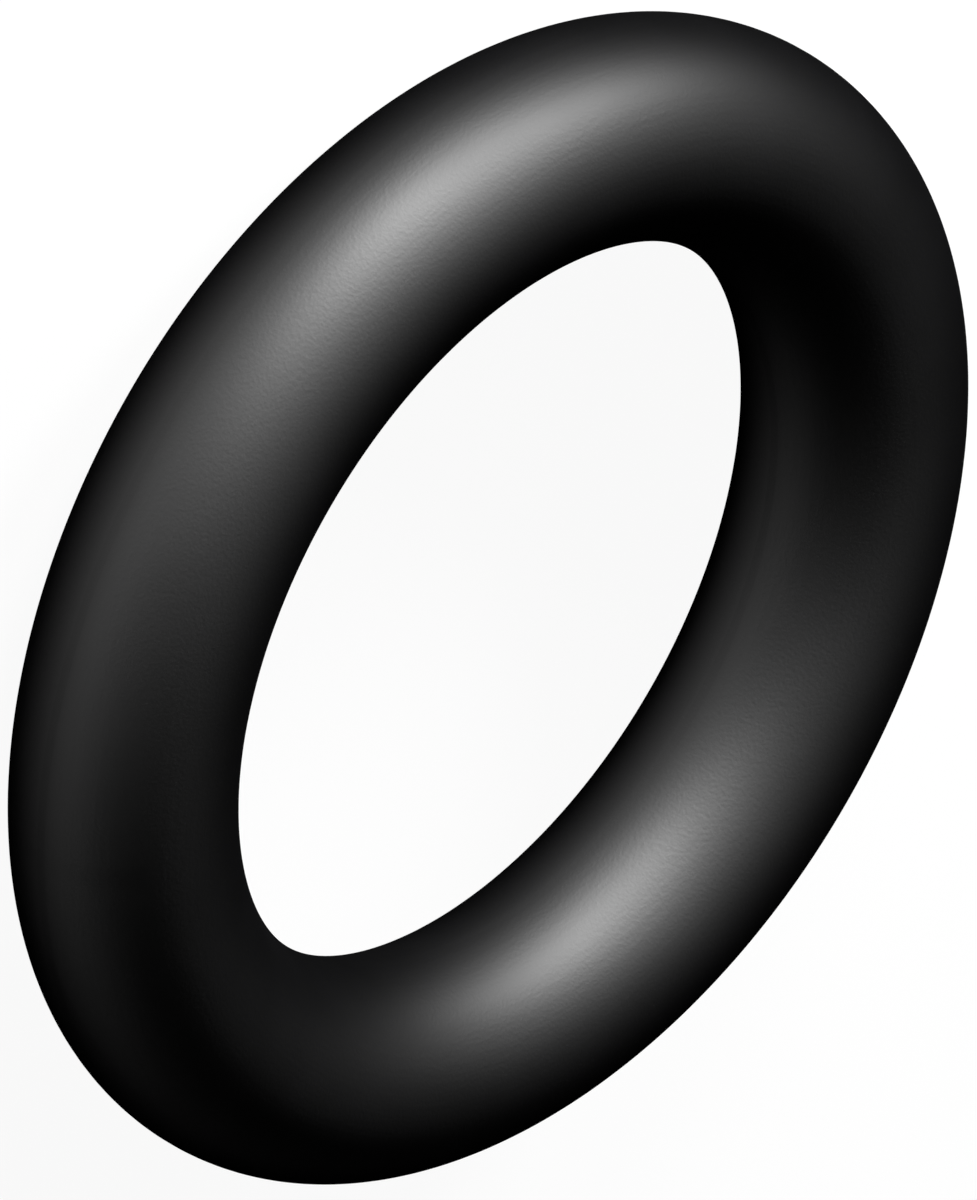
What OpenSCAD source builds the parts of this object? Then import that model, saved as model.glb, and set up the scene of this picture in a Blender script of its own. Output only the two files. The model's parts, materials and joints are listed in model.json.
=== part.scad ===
// Moulded rubber o-ring for a groove, lying flat on its side.
// +Z is the axis of the ring, and the origin is the centre of its hole, at mid-thickness.

/* [Ring] */
// Diameter of the hole, where it is narrowest
bore_d = 9.19; // [3:0.01:60]
// Diameter of the round section
section_d = 2.62; // [1:0.01:7]

/* [Parting line] */
// Width of the flush flats that trimming leaves, round the hole and round the rim
trim_w = 0.12; // [0.04:0.01:0.4]

/* [Hidden] */
$fn = 144;
section_r = section_d / 2;
// The flats stand on a chord of the section, a hair inside its widest points
flat_x = sqrt(pow(section_r, 2) - pow(trim_w / 2, 2));
// The section's centre runs on this circle, which puts the inner flat on the hole
centreline_r = bore_d / 2 + flat_x;

// The section as it leaves the mould and the trimming: a circle with its two sides just flattened
module section() {
    intersection() {
        circle(r = section_r);
        square([2 * flat_x, section_d], center = true);
    }
}

// One closed ring, with no joint or start
module o_ring() {
    color([0.08, 0.08, 0.085])
        rotate_extrude()
            translate([centreline_r, 0])
                section();
}

o_ring();
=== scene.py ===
"""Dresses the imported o-ring: its moulded skin of black rubber, and a small studio to see it in.

Lengths are metres on the frame's own axes. The ring lies flat round the origin, with +Z as its axis.
"""

import json
import logging
import math
from dataclasses import dataclass
from enum import Enum
from typing import Any, Union

import bpy
import numpy as np
from mathutils import Matrix, Vector

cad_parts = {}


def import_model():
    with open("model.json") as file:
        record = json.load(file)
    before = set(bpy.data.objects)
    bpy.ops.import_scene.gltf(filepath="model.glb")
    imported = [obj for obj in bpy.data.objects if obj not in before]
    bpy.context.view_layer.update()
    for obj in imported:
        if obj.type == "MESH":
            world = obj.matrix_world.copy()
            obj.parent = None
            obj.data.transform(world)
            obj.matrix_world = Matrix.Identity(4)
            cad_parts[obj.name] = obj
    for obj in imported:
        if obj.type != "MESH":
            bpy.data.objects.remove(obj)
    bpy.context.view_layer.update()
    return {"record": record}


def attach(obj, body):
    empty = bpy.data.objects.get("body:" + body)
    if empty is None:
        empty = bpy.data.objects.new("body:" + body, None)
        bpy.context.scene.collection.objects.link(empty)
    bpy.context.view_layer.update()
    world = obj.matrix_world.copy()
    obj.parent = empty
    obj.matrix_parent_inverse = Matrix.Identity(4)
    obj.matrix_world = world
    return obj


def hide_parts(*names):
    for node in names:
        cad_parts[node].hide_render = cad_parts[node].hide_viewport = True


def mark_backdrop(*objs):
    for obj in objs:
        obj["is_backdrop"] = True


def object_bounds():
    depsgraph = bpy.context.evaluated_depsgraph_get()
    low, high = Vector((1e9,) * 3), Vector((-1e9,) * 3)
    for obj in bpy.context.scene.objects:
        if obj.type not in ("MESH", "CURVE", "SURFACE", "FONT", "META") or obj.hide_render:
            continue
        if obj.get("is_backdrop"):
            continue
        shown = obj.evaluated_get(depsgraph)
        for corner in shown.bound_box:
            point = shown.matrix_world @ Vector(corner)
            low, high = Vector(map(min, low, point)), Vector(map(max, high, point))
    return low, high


log = logging.getLogger("o_ring_scene")

MM = 0.001
MICRON = 1e-6
FULL_TURN = 2 * math.pi
NOISE_MEAN = 0.5
ROOT_BODY = "root"
RING_NODE = "o_ring"


class Slot(Enum):
    """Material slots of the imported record."""

    RUBBER = "black_rubber"


class Seat(Enum):
    """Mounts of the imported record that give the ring's two diameters."""

    SHAFT = "shaft_seat"
    HOUSING = "housing_seat"


class Ray(Enum):
    """Kinds of ray that see the pale background, as outputs of the Light Path node."""

    CAMERA = "Is Camera Ray"
    GLOSSY = "Is Glossy Ray"
    TRANSMISSION = "Is Transmission Ray"


class Signal:
    """One output of a shader node, with arithmetic that adds Math nodes to the same sheet."""

    def __init__(self, sheet: "NodeSheet", socket: bpy.types.NodeSocket) -> None:
        """Wraps an output socket of a node on the sheet."""
        self.sheet = sheet
        self.socket = socket

    def __add__(self, other: "Value") -> "Signal":
        """Sum of two values."""
        return self.sheet.math("ADD", self, other)

    __radd__ = __add__

    def __sub__(self, other: "Value") -> "Signal":
        """This value less the other."""
        return self.sheet.math("SUBTRACT", self, other)

    def __rsub__(self, other: "Value") -> "Signal":
        """The other value less this one."""
        return self.sheet.math("SUBTRACT", other, self)

    def __mul__(self, other: "Value") -> "Signal":
        """Product of two values."""
        return self.sheet.math("MULTIPLY", self, other)

    __rmul__ = __mul__

    def most(self, other: "Value") -> "Signal":
        """The larger of two values."""
        return self.sheet.math("MAXIMUM", self, other)

    def fold(self, width: float) -> "Signal":
        """This value's distance from the nearest even multiple of width."""
        return self.sheet.math("PINGPONG", self, width)

    def below(self, limit: float) -> "Signal":
        """One where this value is under the limit, and zero elsewhere."""
        return self.sheet.math("LESS_THAN", self, limit)


Value = Union[Signal, float]
Colour = tuple[float, float, float]
WHITE: Colour = (1.0, 1.0, 1.0)


def opaque(colour: Colour) -> tuple[float, float, float, float]:
    """A colour with full alpha, as a colour socket takes it."""
    return (*colour, 1.0)


class NodeSheet:
    """The nodes of one material or world."""

    def __init__(self, owner: Union[bpy.types.Material, bpy.types.World]) -> None:
        """Empties the owner's node tree.

        Args:
            owner: the material or world to draw nodes for
        """
        owner.use_nodes = True
        self.tree = owner.node_tree
        self.tree.nodes.clear()

    def add(self, kind: str, settings: dict[str, Any], inputs: dict[Any, Any]) -> bpy.types.Node:
        """Adds one node.

        Args:
            kind: type name of the node
            settings: properties to set first
            inputs: value or signal for each input socket, by name or number

        Returns:
            the new node
        """
        node = self.tree.nodes.new(kind)
        for name, value in settings.items():
            setattr(node, name, value)
        for name, value in inputs.items():
            self.feed(node.inputs[name], value)
        return node

    def feed(self, socket: bpy.types.NodeSocket, value: Any) -> None:
        """Links a signal to an input socket, or sets the socket to a plain value.

        Args:
            socket: the input socket
            value: a signal, or a number, colour or vector that suits the socket
        """
        if isinstance(value, Signal):
            self.tree.links.new(value.socket, socket)
        else:
            socket.default_value = value

    def out(self, node: bpy.types.Node, name: Union[str, int] = 0) -> Signal:
        """One output of a node, as a signal."""
        return Signal(self, node.outputs[name])

    def math(self, operation: str, *values: "Value") -> Signal:
        """The result of one Math node on the given values."""
        return self.out(self.add("ShaderNodeMath", {"operation": operation}, dict(enumerate(values))))

    def vector(self, operation: str, *values: Any) -> Signal:
        """The result of one Vector Math node on the given vectors."""
        settings = {"operation": operation}
        return self.out(self.add("ShaderNodeVectorMath", settings, dict(enumerate(values))))

    def part(self, vector: Signal, axis: str) -> Signal:
        """One coordinate of a vector, by its axis."""
        return self.out(self.add("ShaderNodeSeparateXYZ", {}, {0: vector}), axis)

    def blend(self, share: Value, first: Colour, second: Colour) -> Signal:
        """Goes from one colour over to another.

        Args:
            share: 0 for the first colour only, 1 for the second only
            first: the first colour
            second: the second colour

        Returns:
            the mixed colour
        """
        node = self.add("ShaderNodeMix", {"data_type": "RGBA"}, {})
        sockets = [socket for socket in node.inputs if socket.enabled]
        for socket, value in zip(sockets, (share, opaque(first), opaque(second))):
            self.feed(socket, value)
        return Signal(self, next(socket for socket in node.outputs if socket.enabled))

    def noise(self, place: Signal, scale: float, detail: float) -> Signal:
        """Even noise from 0 to 1, with about scale features for each unit of length."""
        inputs = {"Vector": place, "Scale": scale, "Detail": detail}
        return self.out(self.add("ShaderNodeTexNoise", {}, inputs), "Fac")

    def seen(self) -> Signal:
        """Tells the rays that see the pale background from those that light things.

        Returns:
            one for the kinds of ray in Ray, and zero for all others
        """
        path = self.add("ShaderNodeLightPath", {}, {})
        camera, glossy, transmission = [self.out(path, ray.value) for ray in Ray]
        return camera.most(glossy).most(transmission)


@dataclass(frozen=True)
class MouldedRubber:
    """Black nitrile rubber with a smooth moulded skin.

    Attributes:
        clean: colour where the skin is clean
        bloomed: colour where a faint grey bloom lies on it
        ior: refractive index of the rubber, raised by its carbon black
        gloss: specular level
        gloss_power: power of the view's cosine by which the gloss fades towards the ring's outline
        roughness: mean roughness of the skin
        cloud_spread: how far the roughness drifts over the broad clouds of bloom
        cloud_size: width of one cloud
        cloud_detail: octaves of finer cloud within it
        grain_size: width of one grain of the skin
        grain_depth: height of the grain
        fine_detail: octaves of finer shape within the grain and the polishing lines
        polish_pitch: distance between the fine lines that the mould's polishing left along the ring
        polish_change: how much those lines change over each radian of the ring's turn
        polish_depth: height of those lines
        trim_dullness: roughness that the trimmed flats add
    """

    clean: Colour = (0.001, 0.001, 0.001)
    bloomed: Colour = (0.003, 0.003, 0.0032)
    ior: float = 1.6
    gloss: float = 1.0
    gloss_power: float = 4.0
    roughness: float = 0.6
    cloud_spread: float = 0.03
    cloud_size: float = 1.8 * MM
    cloud_detail: float = 2.0
    grain_size: float = 45 * MICRON
    grain_depth: float = 2.0 * MICRON
    fine_detail: float = 1.0
    polish_pitch: float = 70 * MICRON
    polish_change: float = 4.0
    polish_depth: float = 1.3 * MICRON
    trim_dullness: float = 0.05

    @property
    def facing_blend(self) -> float:
        """Blend at which Layer Weight's Facing is one less the view's cosine to the power gloss_power."""
        return 1 - 0.5 / self.gloss_power

    def material(self, uv_name: str, section_way: float, trim_share: float) -> bpy.types.Material:
        """Draws the rubber.

        Args:
            uv_name: map whose V runs once round the section, from the middle of the outer flat
            section_way: length of that way round the section
            trim_share: share of it that one flat takes

        Returns:
            the finished material
        """
        made = bpy.data.materials.new("moulded_black_rubber")
        sheet = NodeSheet(made)
        place = sheet.out(sheet.add("ShaderNodeTexCoord", {}, {}), "Object")
        way_round = sheet.part(sheet.out(sheet.add("ShaderNodeUVMap", {"uv_map": uv_name}, {})), "Y")
        clouds = sheet.noise(place, 1 / self.cloud_size, self.cloud_detail)
        grain = sheet.noise(place, 1 / self.grain_size, self.fine_detail)
        lines = self.polish_lines(sheet, place, way_round * (section_way / self.polish_pitch))
        trimmed = self.on_flats(way_round, trim_share)
        drift = (clouds - NOISE_MEAN) * (2 * self.cloud_spread) + trimmed * self.trim_dullness
        height = grain * self.grain_depth + lines * self.polish_depth
        skin = sheet.add("ShaderNodeBump", {}, {"Strength": 1.0, "Distance": 1.0, "Height": height})
        common = {
            "Base Color": sheet.blend(clouds, self.clean, self.bloomed),
            "IOR": self.ior,
            "Roughness": self.roughness + drift,
            "Normal": sheet.out(skin),
        }
        glossy = sheet.add("ShaderNodeBsdfPrincipled", {}, {**common, "Specular IOR Level": self.gloss})
        dull = sheet.add("ShaderNodeBsdfPrincipled", {}, {**common, "Specular IOR Level": 0.0})
        weight = sheet.add("ShaderNodeLayerWeight", {}, {"Blend": self.facing_blend})
        shaders = {0: sheet.out(weight, "Facing"), 1: sheet.out(glossy), 2: sheet.out(dull)}
        surface = sheet.add("ShaderNodeMixShader", {}, shaders)
        sheet.add("ShaderNodeOutputMaterial", {}, {"Surface": sheet.out(surface)})
        return made

    def on_flats(self, way_round: Signal, trim_share: float) -> Signal:
        """Marks the two trimmed flats, at the even quarters of the way round the section.

        Args:
            way_round: share of the way round the section, from the middle of the outer flat
            trim_share: share of it that one flat takes

        Returns:
            one on the flats, and zero elsewhere
        """
        quarter = 0.25
        return way_round.fold(quarter).below(trim_share / 2)

    def polish_lines(self, sheet: NodeSheet, place: Signal, lines_up: Signal) -> Signal:
        """Draws noise out along the ring, with no seam after one turn.

        It is read at the ring's bearing, as a point on a circle, with lines_up as the height.

        Args:
            sheet: the node sheet to draw on
            place: position on the ring
            lines_up: how many lines lie between this place and the outer flat, round the section

        Returns:
            the noise, from 0 to 1
        """
        flat = sheet.vector("MULTIPLY", place, (1.0, 1.0, 0.0))
        bearing = sheet.vector("NORMALIZE", flat)
        circle = sheet.vector("MULTIPLY", bearing, (self.polish_change,) * 3)
        climb = sheet.out(sheet.add("ShaderNodeCombineXYZ", {}, {"Z": lines_up}))
        return sheet.noise(sheet.vector("ADD", circle, climb), 1.0, self.fine_detail)


@dataclass
class MouldedRing:
    """The ring as trimming leaves it: a round section carried round the hole, its two sides just flattened.

    Attributes:
        hole_r: radius of the hole, at the inner flat
        rim_r: radius of the outside, at the outer flat
        trim_w: width of each flat
        stations: steps round the ring
        arc_steps: steps over the upper half of the section, and again over the lower half
        uv_name: name of the ring's own map
    """

    hole_r: float
    rim_r: float
    trim_w: float
    stations: int = 432
    arc_steps: int = 54
    uv_name: str = "skin"

    @classmethod
    def from_record(cls, record: dict[str, Any]) -> "MouldedRing":
        """Takes the sizes from the record's two seats.

        Args:
            record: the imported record

        Returns:
            the ring at the record's size
        """
        dims = {mount["name"]: mount["dims"] for mount in record["mounts"]}
        shaft, housing = dims[Seat.SHAFT.value], dims[Seat.HOUSING.value]
        return cls(shaft["r_mm"] * MM, housing["r_mm"] * MM, shaft["length_mm"] * MM)

    @property
    def centreline_r(self) -> float:
        """Radius of the circle that the section's centre runs on."""
        return (self.rim_r + self.hole_r) / 2

    @property
    def section_r(self) -> float:
        """Radius of the section, whose flats are chords of width trim_w."""
        return math.hypot((self.rim_r - self.hole_r) / 2, self.trim_w / 2)

    @property
    def trim_angle(self) -> float:
        """Half of the angle that one flat takes from the section, seen from its centre."""
        return math.asin(self.trim_w / 2 / self.section_r)

    def section_angles(self) -> np.ndarray:
        """Angles of the section's points from the outer side over the top, so that each flat is one step."""
        upper = np.linspace(self.trim_angle, math.pi - self.trim_angle, self.arc_steps + 1)
        return np.concatenate([upper, upper + math.pi])

    def mesh(self) -> bpy.types.Mesh:
        """Builds the skin as one closed grid.

        A point is the centreline's radius plus the section's radius times the cosine of the section angle,
        turned about +Z by the ring angle; its height is the section's radius times the sine.

        Returns:
            the mesh, smooth, with U once round the ring and V once round the section in uv_name
        """
        angles = self.section_angles()
        turn = np.arange(self.stations) * (FULL_TURN / self.stations)
        out = self.centreline_r + self.section_r * np.cos(angles)
        up = np.broadcast_to(self.section_r * np.sin(angles), (self.stations, angles.size))
        points = np.stack([np.outer(np.cos(turn), out), np.outer(np.sin(turn), out), up], axis=-1)
        mesh = grid_mesh(RING_NODE + "_skin", points, closed=True)
        row, column = grid_corners(self.stations, angles.size, closed=True)
        way_round = np.append(angles, angles[0] + FULL_TURN) / FULL_TURN
        both = np.stack([row / self.stations, way_round[column]], axis=-1)
        uv = mesh.uv_layers.new(name=self.uv_name)
        uv.data.foreach_set("uv", both.astype(np.float32).ravel())
        mesh.polygons.foreach_set("use_smooth", np.ones(len(mesh.polygons), dtype=bool))
        mesh.update()
        return mesh

    def build(self, rubber: MouldedRubber) -> bpy.types.Object:
        """Makes the ring's skin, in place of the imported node.

        Args:
            rubber: the finish to give it

        Returns:
            the piece
        """
        piece = bpy.data.objects.new("moulded_ring", self.mesh())
        bpy.context.scene.collection.objects.link(piece)
        section_way = FULL_TURN * self.section_r
        dress = rubber.material(self.uv_name, section_way, self.trim_angle / math.pi)
        piece.data.materials.append(dress)
        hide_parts(RING_NODE)
        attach(piece, ROOT_BODY)
        return piece


def grid_corners(rows: int, columns: int, closed: bool) -> tuple[np.ndarray, np.ndarray]:
    """Finds the four corners of every cell of a grid.

    They are the cell's own point, the one a row on, the one a row and a column on, and the one a column on.

    Args:
        rows: rows of points
        columns: columns of points
        closed: whether the last row leads on to the first, and the last column too

    Returns:
        row and column of the four corners of each cell, which reach rows and columns where the grid closes
    """
    last = 0 if closed else 1
    row, column = np.meshgrid(np.arange(rows - last), np.arange(columns - last), indexing="ij")
    return (
        np.stack([row, row + 1, row + 1, row], axis=-1).reshape(-1, 4),
        np.stack([column, column, column + 1, column + 1], axis=-1).reshape(-1, 4),
    )


def grid_mesh(name: str, points: np.ndarray, closed: bool) -> bpy.types.Mesh:
    """Joins a grid of points with one four-sided face to each cell.

    A face looks outwards where the rows go anticlockwise about +Z and the columns climb on the outside.

    Args:
        name: name of the mesh
        points: the points, as an array of rows, columns and three coordinates
        closed: whether the grid closes on itself both ways

    Returns:
        the mesh
    """
    rows, columns = points.shape[:2]
    row, column = grid_corners(rows, columns, closed)
    mesh = bpy.data.meshes.new(name)
    mesh.from_pydata(points.reshape(-1, 3), [], row % rows * columns + column % columns)
    mesh.validate()
    mesh.update()
    return mesh


@dataclass(frozen=True)
class PhotoView:
    """The photograph's view, as a long lens gives it: square to a plane, with no vanishing lines.

    Attributes:
        elevation: angle of the view above the floor
        roll: turn of the camera about its own line of sight
        scale_px: radius of the ring's centreline in the photograph, in pixels
        centre_px: centre of the ring in the photograph, from the left and the top
        frame_px: width and height of the photograph
        lens_mm: focal length for a sensor 36 mm high
        clip_factor: how many times nearer and farther than the ring the camera still sees
    """

    elevation: float = math.atan(1 / math.sqrt(2))
    roll: float = math.radians(120)
    scale_px: float = 517.1
    centre_px: tuple[float, float] = (488.8, 598.2)
    frame_px: tuple[int, int] = (977, 1200)
    lens_mm: float = 1300.0
    clip_factor: float = 100.0

    def axes(self) -> Matrix:
        """Right, up and back of the camera, as columns."""
        tilt = Matrix.Rotation(math.pi / 2 - self.elevation, 3, "X")
        return tilt @ Matrix.Rotation(self.roll, 3, "Z")

    def build(self, centreline_r: float) -> bpy.types.Object:
        """Makes the camera and points it at the ring.

        Args:
            centreline_r: real radius of the ring's centreline

        Returns:
            the camera
        """
        lens = bpy.data.cameras.new("photo_camera")
        lens.lens = self.lens_mm
        metres_per_px = centreline_r / self.scale_px
        distance_px = self.frame_px[1] * self.lens_mm / lens.sensor_width
        distance = distance_px * metres_per_px
        right = self.frame_px[0] / 2 - self.centre_px[0]
        up = self.centre_px[1] - self.frame_px[1] / 2
        axes = self.axes()
        near_side = axes.transposed() @ Vector((0.0, -1.0, 0.0))
        # The lens draws the near side larger, which moves the outline this far towards that side
        drift_px = self.scale_px**2 * math.sin(self.elevation) * math.cos(self.elevation) / distance_px
        shift = Vector((right, up)) + drift_px * near_side.xy.normalized()
        lens.clip_start = distance / self.clip_factor
        lens.clip_end = distance * self.clip_factor
        camera = bpy.data.objects.new("photo_camera", lens)
        bpy.context.scene.collection.objects.link(camera)
        place = axes @ Vector((shift.x * metres_per_px, shift.y * metres_per_px, distance))
        camera.matrix_world = Matrix.Translation(place) @ axes.to_4x4()
        bpy.context.scene.camera = camera
        return camera


@dataclass(frozen=True)
class SoftLamp:
    """A soft lamp with an oval face, turned to the ring.

    Attributes:
        name: name of the lamp
        azimuth: bearing from the camera's side of the ring, anticlockwise from above, in degrees
        elevation: height above the floor, in degrees
        level: light that falls on a surface at the ring that faces the lamp; pi shows white as white
        half_width: half of the angle that the lamp fills sideways, seen from the ring, in degrees
        half_height: half of the angle that it fills upwards, in degrees
        distance: distance from the ring
    """

    name: str
    azimuth: float
    elevation: float
    level: float
    half_width: float
    half_height: float
    distance: float = 80 * MM

    def build(self) -> bpy.types.Object:
        """Makes the lamp.

        Returns:
            the lamp's object
        """
        data = bpy.data.lights.new(self.name, "AREA")
        data.shape = "ELLIPSE"
        data.size = 2 * self.distance * math.tan(math.radians(self.half_width))
        data.size_y = 2 * self.distance * math.tan(math.radians(self.half_height))
        data.energy = self.level * math.pi * self.distance**2
        lamp = bpy.data.objects.new(self.name, data)
        lamp.visible_camera = False
        bpy.context.scene.collection.objects.link(lamp)
        bearing, height = math.radians(self.azimuth), math.radians(self.elevation)
        level_way = Vector((math.sin(bearing), -math.cos(bearing), 0.0))
        way = level_way * math.cos(height) + Vector((0.0, 0.0, math.sin(height)))
        turn = way.to_track_quat("Z", "Y").to_matrix().to_4x4()
        lamp.matrix_world = Matrix.Translation(way * self.distance) @ turn
        return lamp


@dataclass
class Studio:
    """A pale floor under a dark tent, so that black rubber has something black to mirror.

    Attributes:
        floor_z: height of the floor
        floor_half: half of the floor's width
        floor_colour: colour of the floor's paper
        background_share: share of the floor that shows as plain white background
        sky_level: strength at which the world lights things; where it is seen, it is white
        tent_r: radius of the tent
        tent_colour: colour of the tent's cloth
        tent_steps: steps of the tent round its foot, and from its foot to its top
        lamps: the soft lamps
    """

    floor_z: float
    floor_half: float = 300 * MM
    floor_colour: Colour = (0.8, 0.8, 0.8)
    background_share: float = 0.94
    sky_level: float = 0.5
    tent_r: float = 120 * MM
    tent_colour: Colour = (0.03, 0.03, 0.03)
    tent_steps: tuple[int, int] = (48, 12)
    lamps: tuple[SoftLamp, ...] = (
        SoftLamp("key_lamp", azimuth=-56, elevation=16, level=5.8, half_width=14, half_height=8),
        SoftLamp("side_lamp", azimuth=-92, elevation=20, level=6.4, half_width=10, half_height=8),
        SoftLamp("back_lamp", azimuth=-130, elevation=35, level=0.6, half_width=14, half_height=8),
    )

    def build(self) -> None:
        """Makes the floor, the tent, the lamps and the world."""
        tent = self.prop("dark_tent", self.tent_points(), self.cloth())
        tent.visible_camera = False
        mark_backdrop(self.prop("studio_floor", self.floor_points(), self.paper()), tent)
        for lamp in self.lamps:
            lamp.build()
        self.world()

    def prop(self, name: str, points: np.ndarray, dress: bpy.types.Material) -> bpy.types.Object:
        """Makes one sheet of the studio.

        Args:
            name: name of the sheet
            points: its grid of points
            dress: its material

        Returns:
            the sheet's object
        """
        mesh = grid_mesh(name, points, closed=False)
        mesh.materials.append(dress)
        sheet = bpy.data.objects.new(name, mesh)
        bpy.context.scene.collection.objects.link(sheet)
        return sheet

    def floor_points(self) -> np.ndarray:
        """Works out the floor's corners: each end of its width along X with each end along Y, at floor_z.

        Returns:
            the grid of points, with a row for each X and a column for each Y
        """
        ends = [-self.floor_half, self.floor_half]
        x, y = np.meshgrid(ends, ends, indexing="ij")
        return np.stack([x, y, np.full_like(x, self.floor_z)], axis=-1)

    def tent_points(self) -> np.ndarray:
        """Works out half a ball over the floor, which looks inwards.

        A point is the tent's radius times the cosine of its height angle, turned about +Z by its bearing,
        and as high over the floor as the radius times the sine.

        Returns:
            the grid of points, with a row for each bearing and a column for each height
        """
        round_foot, up_side = self.tent_steps
        bearing = np.linspace(FULL_TURN, 0, round_foot + 1)
        height = np.linspace(0, math.pi / 2, up_side + 1)
        b, h = np.meshgrid(bearing, height, indexing="ij")
        ball = np.stack([np.cos(h) * np.cos(b), np.cos(h) * np.sin(b), np.sin(h)], axis=-1)
        return self.tent_r * ball + np.array([0.0, 0.0, self.floor_z])

    def paper(self) -> bpy.types.Material:
        """Pale paper that shows mostly as background where it is seen, and keeps a faint shadow.

        Returns:
            the floor's material
        """
        made = bpy.data.materials.new("pale_paper")
        sheet = NodeSheet(made)
        paper = sheet.add("ShaderNodeBsdfDiffuse", {}, {"Color": opaque(self.floor_colour)})
        white = sheet.add("ShaderNodeEmission", {}, {"Color": opaque(WHITE), "Strength": 1.0})
        shaders = {0: sheet.seen() * self.background_share, 1: sheet.out(paper), 2: sheet.out(white)}
        mix = sheet.add("ShaderNodeMixShader", {}, shaders)
        sheet.add("ShaderNodeOutputMaterial", {}, {"Surface": sheet.out(mix)})
        return made

    def cloth(self) -> bpy.types.Material:
        """Dark dull cloth.

        Returns:
            the tent's material
        """
        made = bpy.data.materials.new("dark_cloth")
        sheet = NodeSheet(made)
        cloth = sheet.add("ShaderNodeBsdfDiffuse", {}, {"Color": opaque(self.tent_colour)})
        sheet.add("ShaderNodeOutputMaterial", {}, {"Surface": sheet.out(cloth)})
        return made

    def world(self) -> None:
        """Makes the world white where it is seen, and grey where it lights things."""
        world = bpy.data.worlds.new("studio_world")
        bpy.context.scene.world = world
        sheet = NodeSheet(world)
        strength = self.sky_level + sheet.seen() * (1 - self.sky_level)
        sky = sheet.add("ShaderNodeBackground", {}, {"Color": opaque(WHITE), "Strength": strength})
        sheet.add("ShaderNodeOutputWorld", {}, {"Surface": sheet.out(sky)})


def main() -> None:
    """Builds the ring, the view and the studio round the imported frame."""
    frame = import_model()
    ring = MouldedRing.from_record(frame["record"])
    piece = ring.build(MouldedRubber())
    log.info("%s: %d faces", piece.name, len(piece.data.polygons))
    camera = PhotoView().build(ring.centreline_r)
    log.info("%s: %.0f mm lens", camera.name, camera.data.lens)
    studio = Studio(floor_z=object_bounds()[0].z)
    studio.build()
    log.info("studio: %d lamps", len(studio.lamps))
    bpy.context.scene.view_settings.view_transform = "Standard"


if __name__ == "__main__":
    logging.basicConfig(level=logging.INFO, format="%(message)s")
    main()
